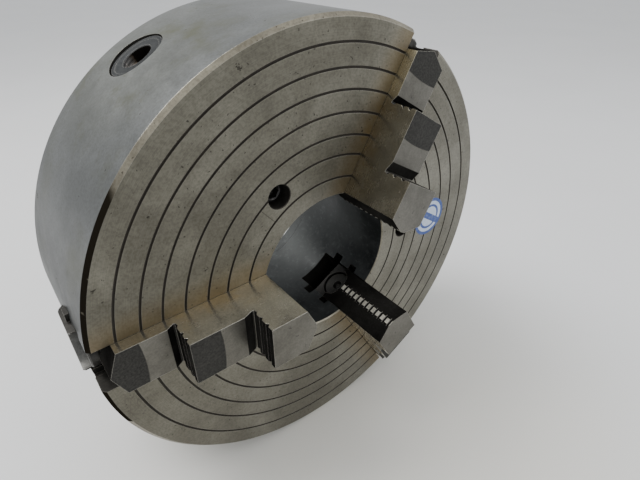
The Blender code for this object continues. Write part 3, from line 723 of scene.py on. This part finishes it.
def body_profile():
    points = [(BODY_RADIUS, DEPTH - RIM_CHAMFER), (BODY_RADIUS - RIM_CHAMFER, DEPTH)]
    for radius in GROOVES:
        points += groove_points(radius)
    points += [
        (BORE_RADIUS + BORE_CHAMFER, DEPTH),
        (BORE_RADIUS, DEPTH - BORE_CHAMFER),
        (BORE_RADIUS, COVER_TOP + FIT),
        (CAVITY_INNER, COVER_TOP + FIT),
        (CAVITY_INNER, CAVITY_TOP),
        (CAVITY_OUTER, CAVITY_TOP),
        (CAVITY_OUTER, COVER_TOP + FIT),
        (COVER_RADIUS + FIT, COVER_TOP + FIT),
        (COVER_RADIUS + FIT, RECESS_CHAMFER),
        (COVER_RADIUS + FIT + RECESS_CHAMFER, 0),
        (BODY_RADIUS - BACK_CHAMFER, 0),
        (BODY_RADIUS, BACK_CHAMFER),
    ]
    return points


def slot_outline():
    """The slot, as (across, height): each side has a groove for the jaw and one for the carrier."""
    right = [(SLOT_HALF + SLOT_EDGE + 5 * MM, DEPTH + 5 * MM), (SLOT_HALF, DEPTH - SLOT_EDGE)]
    for half, low, high in (JAW_TONGUE, CARRIER_TONGUE):
        right += [
            (SLOT_HALF, high + TONGUE_CLEARANCE),
            (half + TONGUE_CLEARANCE, high + TONGUE_CLEARANCE),
            (half + TONGUE_CLEARANCE, low - TONGUE_CLEARANCE),
            (SLOT_HALF, low - TONGUE_CLEARANCE),
        ]
    right.append((SLOT_HALF, SLOT_FLOOR))
    return right + [(-across, height) for across, height in reversed(right)]


def body_finish(centre, normal):
    radius = math.hypot(centre.x, centre.y)
    outward = (centre.x * normal.x + centre.y * normal.y) / max(radius, 1e-6)
    if normal.z > 0.9 and centre.z > DEPTH - 0.05 * MM:
        return FACE
    if radius > BODY_RADIUS - RIM_CHAMFER and centre.z > DEPTH - RIM_CHAMFER - 0.01 * MM and outward > 0.3:
        return RIM
    if radius > BODY_RADIUS - 0.5 * MM and outward > 0.9:
        return SIDE
    if centre.z < BACK_CHAMFER + 0.1 * MM and (normal.z < -0.5 or radius > BODY_RADIUS - BACK_CHAMFER - MM):
        return BACK
    if radius < BORE_RADIUS + 0.5 * MM and outward < -0.8:
        return BORE
    turned = abs(outward) + normal.z > 0.95
    if turned and centre.z > DEPTH - GROOVE_DEPTH - 0.1 * MM and radius > BORE_RADIUS + 3 * MM:
        return GROOVE
    if radius < BORE_RADIUS + BORE_CHAMFER and centre.z > DEPTH - BORE_CHAMFER:
        return RIM
    return SLOT


def face_counterbore():
    chamfer = 0.5 * MM
    profile = [
        (0, COUNTERBORE_SEAT),
        (COUNTERBORE_RADIUS, COUNTERBORE_SEAT),
        (COUNTERBORE_RADIUS, DEPTH - chamfer),
        (COUNTERBORE_RADIUS + chamfer + PAST, DEPTH + PAST),
        (0, DEPTH + PAST),
    ]
    return moved(revolve(profile, 64), Matrix.Translation((FACE_SCREW_CIRCLE, 0, 0)))


def make_body():
    form = revolve(body_profile(), TURNED_STEPS, closed=True)
    outside = BODY_RADIUS + 10 * MM
    tools = []
    for angle in JAW_ANGLES:
        tools.append(turned_to(prism(slot_outline(), BORE_RADIUS - 10 * MM, outside), angle))
    for angle in PINION_ANGLES:
        hole = cylinder(PINION_RADIUS + PINION_CLEARANCE, CAVITY_OUTER - 5 * MM, outside, 96)
        tools.append(turned_to(along_radius(hole, PINION_AXIS), angle))
        tools.append(turned_to(face_counterbore(), angle))
    form = combined(form, gathered(tools))
    finishes = [FACE, SIDE, RIM, BACK, BORE, GROOVE, SLOT]
    piece("turned_body", form, finishes, "body", "chuck_body", choose=body_finish)


def cover_profile():
    return [
        (BORE_RADIUS, COVER_BOTTOM + 0.8 * MM),
        (BORE_RADIUS, COVER_TOP),
        (COVER_RIB[0], COVER_TOP),
        (COVER_RIB[0], COVER_RIB_TOP),
        (COVER_RIB[1], COVER_RIB_TOP),
        (COVER_RIB[1], COVER_TOP),
        (COVER_RADIUS, COVER_TOP),
        (COVER_RADIUS, COVER_BOTTOM + 0.5 * MM),
        (COVER_RADIUS - 0.5 * MM, COVER_BOTTOM),
        (BORE_RADIUS + 0.8 * MM, COVER_BOTTOM),
    ]


def cover_finish(centre, normal):
    return BORE if math.hypot(centre.x, centre.y) < BORE_RADIUS + 0.5 * MM and abs(normal.z) < 0.2 else IRON


def cover_screw_hole():
    """A counterbored hole for a cover screw, with a lip a little chamfered."""
    head, seat = COVER_SCREW["head_radius"] + 0.5 * MM, COVER_BOTTOM + COVER_SCREW["head_height"] + FIT
    shank = COVER_SCREW["shank_radius"] + FIT
    profile = [
        (0, COVER_BOTTOM - PAST),
        (head + 0.6 * MM, COVER_BOTTOM - PAST),
        (head, COVER_BOTTOM + 0.4 * MM),
        (head, seat),
        (shank, seat),
        (shank, COVER_TOP + PAST),
        (0, COVER_TOP + PAST),
    ]
    return moved(revolve(profile, 48), Matrix.Translation((COVER_SCREW_CIRCLE, 0, 0)))


def make_cover():
    form = revolve(cover_profile(), TURNED_STEPS, closed=True)
    tools = [turned_to(cover_screw_hole(), angle) for angle in COVER_SCREW_ANGLES]
    for angle in PINION_ANGLES:
        near, far = COVER_RIB[0] - 2 * MM, COVER_RIB[1] + 2 * MM
        bearing = cylinder(PINION_JOURNAL_RADIUS + FIT, near, far, 48)
        tools.append(turned_to(along_radius(bearing, PINION_AXIS), angle))
        thread = cylinder(FACE_SCREW["shank_radius"] + FIT, COVER_BOTTOM + 2 * MM, COVER_TOP + PAST, 40)
        tools.append(turned_to(moved(thread, Matrix.Translation((FACE_SCREW_CIRCLE, 0, 0))), angle))
    form = combined(form, gathered(tools))
    piece("turned_cover", form, [IRON, BORE], "body", "back_cover", choose=cover_finish)


def cap_screw(head_radius, head_height, shank_radius, shank_length):
    """A socket head screw: its head stands on Z = 0 and its shank goes down."""
    fillet = 0.22 * head_radius
    point = 0.6 * MM
    profile = [
        (0, -shank_length),
        (shank_radius - point, -shank_length),
        (shank_radius, point - shank_length),
        (shank_radius, 0),
        (head_radius - 0.2 * MM, 0),
        (head_radius, 0.2 * MM),
    ]
    for step in range(5):
        out, up = on_circle(fillet, math.pi / 2 * step / 4)
        profile.append((head_radius - fillet + out, head_height - fillet + up))
    profile.append((0, head_height))
    flats = head_radius * 0.56
    hexagon = [on_circle(flats / math.cos(math.pi / 6), math.radians(60 * i)) for i in range(6)]
    form = combined(revolve(profile, 64), prism(hexagon, head_height * 0.45, head_height + PAST, "Z"))
    mouth = cylinder(flats * 0.98, head_height - 0.9 * MM, head_height + 0.1 * MM, 48, flats * 1.24)
    return combined(form, mouth)


def make_fasteners():
    for number, angle in enumerate(PINION_ANGLES, 1):
        place = Matrix.Translation((FACE_SCREW_CIRCLE, 0, COUNTERBORE_SEAT + FIT))
        form = moved(cap_screw(**FACE_SCREW), place)
        piece(f"face_cap_screw_{number}", form, [OXIDE], "body", f"face_screw_{number}",
              angle)
    for number, angle in enumerate(COVER_SCREW_ANGLES, 1):
        place = Matrix.Translation((COVER_SCREW_CIRCLE, 0, COVER_BOTTOM + COVER_SCREW["head_height"]))
        form = moved(cap_screw(**COVER_SCREW), place @ Matrix.Rotation(math.pi, 4, "X"))
        piece(f"cover_cap_screw_{number}", form, [OXIDE], "body", f"cover_screw_{number}",
              angle)


def make_sticker():
    low, high = 0.05 * MM, 0.17 * MM
    form = revolve([(0, low), (STICKER_RADIUS, low), (STICKER_RADIUS, high), (0, high)], 96)
    made = piece("shop_sticker", form, [STICKER], "body", None)
    made.matrix_world = STAND @ Matrix.Translation(STICKER_PLACE)


# ---------------------------------------------------------------- pinions, carriers and screws

def socket_mouth(side, end, height):
    """The turned mouth of a square socket, with a chamfered edge: the square starts at the bottom of it."""
    radius, floor, chamfer, past = side * 0.68, end - side * 0.45, 0.9 * MM, 0.2 * MM
    profile = [
        (0, floor),
        (radius, floor),
        (radius, end - chamfer),
        (radius + chamfer + past, end + past),
        (0, end + past),
    ]
    return along_radius(revolve(profile, 72), height)


def pinion_finish(centre, normal):
    across = math.hypot(centre.y, centre.z - PINION_AXIS)
    along = PINION_END - centre.x
    inside = across < PINION_SOCKET * 0.71 and MM < along < PINION_SOCKET_DEPTH + MM
    return PINION_BORE if inside else PINION


def square_socket(side, depth, end, height):
    half = side / 2
    return block((end - depth, -half, height - half), (end + PAST, half, height + half))


def bridged(rows):
    """Joins rows of as many points each into a closed form."""
    form = bmesh.new()
    rings = [[form.verts.new(spot) for spot in row] for row in rows]
    for one, two in zip(rings, rings[1:]):
        for i in range(len(one)):
            j = (i + 1) % len(one)
            form.faces.new((one[i], one[j], two[j], two[i]))
    form.faces.new(rings[0])
    form.faces.new(rings[-1])
    bmesh.ops.recalc_face_normals(form, faces=form.faces)
    return form


def gear_form():
    """Bevel teeth that grow with the distance from the chuck's axis."""
    rows = []
    for distance in GEAR_SPAN:
        tip, root = GEAR_TIP_SLOPE * distance, GEAR_ROOT_SLOPE * distance
        row = []
        for tooth in range(PINION_TEETH):
            middle = 2 * math.pi * (tooth + 0.5) / PINION_TEETH
            for radius, spread in ((root, -0.27), (tip, -0.1), (tip, 0.1), (root, 0.27)):
                row.append((*on_circle(radius, middle + spread), distance))
        rows.append(row)
    return bridged(rows)


def pinion_profile():
    chamfer, ring, ring_depth = 0.8 * MM, 3.2 * MM, 0.3 * MM
    return [
        (0, PINION_JOURNAL_END),
        (PINION_JOURNAL_RADIUS - 0.5 * MM, PINION_JOURNAL_END),
        (PINION_JOURNAL_RADIUS, PINION_JOURNAL_END + 0.5 * MM),
        (PINION_JOURNAL_RADIUS, PINION_SHOULDER),
        (PINION_RADIUS, PINION_SHOULDER),
        (PINION_RADIUS, PINION_NECK[0]),
        (PINION_NECK_RADIUS, PINION_NECK[0]),
        (PINION_NECK_RADIUS, PINION_NECK[1]),
        (PINION_RADIUS, PINION_NECK[1]),
        (PINION_RADIUS, PINION_END - chamfer),
        (PINION_RADIUS - chamfer, PINION_END),
        (PINION_RADIUS - ring, PINION_END),
        (PINION_RADIUS - ring - 0.4 * MM, PINION_END - ring_depth),
        (0, PINION_END - ring_depth),
    ]


def make_pinion(number, angle):
    form = along_radius(revolve(pinion_profile(), 96), PINION_AXIS)
    form = combined(form, along_radius(gear_form(), PINION_AXIS), "UNION")
    form = combined(form, square_socket(PINION_SOCKET, PINION_SOCKET_DEPTH, PINION_END, PINION_AXIS))
    form = combined(form, socket_mouth(PINION_SOCKET, PINION_END, PINION_AXIS))
    piece(f"key_pinion_{number}_turned", form, [PINION, PINION_BORE], f"key_pinion_{number}",
          f"pinion_{number}", angle, choose=pinion_finish)


def screw_radius(distance, turn):
    """The radius of the thread, at a distance along the screw and a share of a turn about it."""
    phase = (distance - SCREW_THREAD[0]) / SCREW_LEAD - turn
    wave = 0.5 + 0.5 * math.cos(2 * math.pi * phase)
    return SCREW_CORE_RADIUS + (SCREW_RADIUS - SCREW_CORE_RADIUS) * min(1, max(0, 3 * wave - 1))


def screw_form():
    """The adjusting screw: a turned bar whose middle is cut as a coarse thread."""
    sides, steps, chamfer = 48, 140, 0.8 * MM
    start, end = SCREW_SPAN
    thread_start, thread_end = SCREW_THREAD

    def row(distance, radius=None):
        spots = []
        for turn in [i / sides for i in range(sides)]:
            here = radius or screw_radius(distance, turn)
            spots.append((*on_circle(here, 2 * math.pi * turn), distance))
        return spots

    rows = [row(start, SCREW_RADIUS - chamfer), row(start + chamfer, SCREW_RADIUS)]
    rows.append(row(thread_start - 3 * MM, SCREW_RADIUS))
    rows += [row(thread_start + (thread_end - thread_start) * i / steps) for i in range(steps + 1)]
    rows.append(row(thread_end + 3 * MM, SCREW_RADIUS))
    rows += [row(SCREW_NECK[0], SCREW_RADIUS), row(SCREW_NECK[0], SCREW_NECK_RADIUS)]
    rows += [row(SCREW_NECK[1], SCREW_NECK_RADIUS), row(SCREW_NECK[1], SCREW_RADIUS)]
    rows += [row(end - chamfer, SCREW_RADIUS), row(end, SCREW_RADIUS - chamfer)]
    return bridged(rows)


def make_screw(number, angle):
    form = along_radius(screw_form(), SCREW_AXIS)
    form = combined(form, square_socket(SCREW_SOCKET, SCREW_SOCKET_DEPTH, SCREW_SPAN[1], SCREW_AXIS))
    form = combined(form, socket_mouth(SCREW_SOCKET, SCREW_SPAN[1], SCREW_AXIS))
    centre = cylinder(5.5 * MM, SCREW_SPAN[0] - PAST, SCREW_SPAN[0] + 3 * MM, 48, 2.5 * MM)
    form = combined(form, along_radius(centre, SCREW_AXIS))
    piece(f"jaw_screw_{number}_cut", form, [INNER], f"jaw_screw_{number}", f"adjusting_screw_{number}",
          angle)


def carrier_outline():
    """From the side, as (along, height): a cradle under the screw, and the slide below and outside it."""
    cradle, lower, end = CARRIER_ENDS
    corner = 1.5 * MM
    side = [(cradle, CARRIER_TOP), (end - corner, CARRIER_TOP), (end, CARRIER_TOP - corner)]
    for step in range(7):
        out, up = on_circle(CARRIER_ROUND, math.pi / 2 * step / 6)
        side.append((end - CARRIER_ROUND + out, CARRIER_BOTTOM + CARRIER_ROUND - up))
    return side + [(lower, CARRIER_BOTTOM), (lower, CARRIER_LEDGE), (cradle, CARRIER_LEDGE)]


def carrier_finish(centre, normal):
    return END if centre.x > CARRIER_ENDS[2] - 6 * MM else INNER


def make_carrier(number, angle):
    cradle, lower, end = CARRIER_ENDS
    form = prism(carrier_outline(), -CARRIER_HALF, CARRIER_HALF, "Y")
    half, low, high = CARRIER_TONGUE
    form = combined(form, block((lower, -half, low), (end - 2.5 * MM, half, high)), "UNION")
    for radius, near, far in (
        (TROUGH_RADIUS, cradle - PAST, SCREW_NECK[0] + FIT),
        (TROUGH_RADIUS, SCREW_NECK[1] - FIT, end + PAST),
        (KEY_CLEARANCE_RADIUS, end - 7 * MM, end + PAST),
    ):
        form = combined(form, along_radius(cylinder(radius, near, far), SCREW_AXIS))
    neck = cylinder(SCREW_NECK_RADIUS + FIT, SCREW_NECK[0] - PAST, SCREW_NECK[1] + PAST, 48)
    form = combined(form, along_radius(neck, SCREW_AXIS))
    piece(f"jaw_carrier_{number}_milled", form, [INNER, END], f"jaw_carrier_{number}", f"carrier_{number}",
          angle, soften=0.5 * MM, choose=carrier_finish)


# ---------------------------------------------------------------- jaws

def riser(wall, top, floor, seat_start, notches):
    """Down a serrated riser from its top edge, through the undercut, and up the relief to the seat."""
    points = [(wall, DEPTH + top)]
    for height in notches:
        middle = DEPTH + height
        points += [(wall, middle + NOTCH), (wall - NOTCH, middle), (wall, middle - NOTCH)]
    points += [
        (wall, DEPTH + floor + 2.2 * MM),
        (wall - 1.7 * MM, DEPTH + floor - 0.2 * MM),
        (wall - 0.8 * MM, DEPTH + floor - RELIEF),
        (wall + 0.6 * MM, DEPTH + floor - RELIEF),
        (seat_start, DEPTH + floor),
    ]
    return points


def nose_points():
    """Up the nose from the bottom of the jaw: pads that bite a bar, with gaps between them."""
    pitch, gap, depth = 6 * MM, 2.4 * MM, 1.0 * MM
    points = [(JAW_NOSE, JAW_BOTTOM)]
    height = DEPTH - 20 * MM
    while height < DEPTH + TOP_STEP - gap:
        points += [(JAW_NOSE, height), (JAW_NOSE + depth, height), (JAW_NOSE + depth, height + gap)]
        points.append((JAW_NOSE, height + gap))
        height += pitch
    points.append((JAW_NOSE, DEPTH + TOP_STEP))
    return points


def jaw_side_outline():
    points = nose_points()
    points += riser(INNER_WALL, TOP_STEP, MIDDLE_STEP, INNER_WALL + 8.3 * MM, INNER_NOTCHES)
    points += riser(OUTER_WALL, MIDDLE_STEP, LOW_STEP, OUTER_WALL + 5.9 * MM, OUTER_NOTCHES)
    points += [(JAW_TIP, DEPTH + LOW_STEP), (JAW_TIP, JAW_BOTTOM)]
    return points


def bevel_cut(form, near, far):
    """Takes off a corner of the plan outline, along the line from near to far."""
    run = Vector((far[0] - near[0], far[1] - near[1], 0))
    outward = Vector((run.y, -run.x, 0))
    middle = Vector((JAW_TIP_SHOULDER * 0.6, 0, 0))
    start = Vector((*near, 0))
    if outward.dot(middle - start) > 0:
        outward.negate()
    return trimmed(form, start, outward)


def make_jaw(number, angle):
    form = prism(jaw_side_outline(), -JAW_HALF, JAW_HALF, "Y")
    for sign in (1, -1):
        form = bevel_cut(form, (JAW_NOSE, sign * JAW_LAND_HALF), (JAW_NOSE_SHOULDER, sign * JAW_HALF))
        form = bevel_cut(form, (JAW_TIP, 0), (JAW_TIP_SHOULDER, sign * JAW_HALF))
    half, low, high = JAW_TONGUE
    tongue = block((JAW_NOSE_SHOULDER + 6 * MM, -half, low), (JAW_TIP_SHOULDER - 6 * MM, half, high))
    form = combined(form, tongue, "UNION")
    form = combined(form, along_radius(cylinder(TROUGH_RADIUS, JAW_NOSE - PAST, JAW_TIP + PAST), SCREW_AXIS))
    sides = JAW_SIDE_OILED_AND_SHADED if number == 1 else JAW_SIDE

    def jaw_finish(centre, normal):
        if abs(normal.y) > 0.95:
            return sides
        if normal.z > 0.95 and centre.z > DEPTH + 5 * MM:
            return JAW_STEP
        if centre.x < JAW_NOSE + 0.1 * MM and normal.x < -0.95:
            return JAW_LAND
        return JAW_DARK

    piece(f"stepped_jaw_{number}", form, [sides, JAW_STEP, JAW_DARK, JAW_LAND], f"jaw_body_{number}",
          f"jaw_{number}", angle, choose=jaw_finish)


# ---------------------------------------------------------------- camera, light and floor

def aim(thing, place, target):
    thing.location = place
    thing.rotation_mode = "QUATERNION"
    thing.rotation_quaternion = (Vector(target) - Vector(place)).to_track_quat("-Z", "Y")


def make_camera():
    data = bpy.data.cameras.new("camera")
    data.lens = CAMERA_LENS
    data.sensor_width = 36
    data.clip_start = 0.01
    camera = bpy.data.objects.new("camera", data)
    scene.collection.objects.link(camera)
    aim(camera, CAMERA_PLACE, Vector(CAMERA_PLACE) + Vector(CAMERA_LOOKS))
    scene.camera = camera


def area_light(name, place, target, size, power, color):
    data = bpy.data.lights.new(name, "AREA")
    data.shape = "SQUARE"
    data.size = size
    data.energy = power
    data.color = color
    light = bpy.data.objects.new(name, data)
    scene.collection.objects.link(light)
    aim(light, place, target)


def make_floor():
    form = bmesh.new()
    bmesh.ops.create_grid(form, x_segments=1, y_segments=1, size=8)
    mesh = bpy.data.meshes.new("floor")
    form.to_mesh(mesh)
    form.free()
    finish = Finish("pale_floor", 0.55, 0.0)
    pale = finish.mix(finish.noise(3, 4), (0.70, 0.705, 0.71), (0.76, 0.765, 0.77))
    # Painted shadow: the floor is tinted darker and warmer round the chuck, where its shadow falls.
    near = finish.span(finish.distance((0.03, -0.2, 0)), 0.42, 0.08)
    finish.set("Base Color", finish.mix(finish.times(near, 0.6), pale, (0.74, 0.71, 0.62)))
    mesh.materials.append(finish.material)
    floor = bpy.data.objects.new("floor", mesh)
    scene.collection.objects.link(floor)
    floor.location = (0, 0, -BODY_RADIUS - 0.2 * MM)


def make_sky():
    """A pale studio, darker near the floor than overhead."""
    world = bpy.data.worlds.new("studio")
    world.use_nodes = True
    nodes, links = world.node_tree.nodes, world.node_tree.links
    background = nodes["Background"]
    background.inputs["Color"].default_value = (0.97, 0.985, 1.0, 1)
    parts = nodes.new("ShaderNodeSeparateXYZ")
    links.new(nodes.new("ShaderNodeTexCoord").outputs["Generated"], parts.inputs["Vector"])
    rise = nodes.new("ShaderNodeMapRange")
    for name, value in {"From Min": 0.0, "From Max": 0.9, "To Min": 0.62, "To Max": 1.05}.items():
        rise.inputs[name].default_value = value
    links.new(parts.outputs["Z"], rise.inputs["Value"])
    links.new(rise.outputs["Result"], background.inputs["Strength"])
    scene.world = world


def make_lights():
    area_light("key", (-0.7, 0.5, 1.5), (0, -0.05, 0), 1.0, 30, (1.0, 0.985, 0.96))
    area_light("fill", (1.3, -1.3, 0.9), (0, -0.1, 0), 1.6, 15, (0.97, 0.98, 1.0))


def refinish(node, finish):
    """Keeps a CAD node as it is, in a finish of this script."""
    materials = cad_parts[node].data.materials
    materials.clear()
    materials.append(finish)


make_camera()
make_body()
make_cover()
make_fasteners()
make_sticker()
for number, angle in enumerate(PINION_ANGLES, 1):
    make_pinion(number, angle)
    refinish(f"pinion_pin_{number}", OXIDE)
for number, angle in enumerate(JAW_ANGLES, 1):
    make_carrier(number, angle)
    make_screw(number, angle)
    make_jaw(number, angle)
refinish("scroll_plate", INNER)
make_floor()
make_sky()
make_lights()
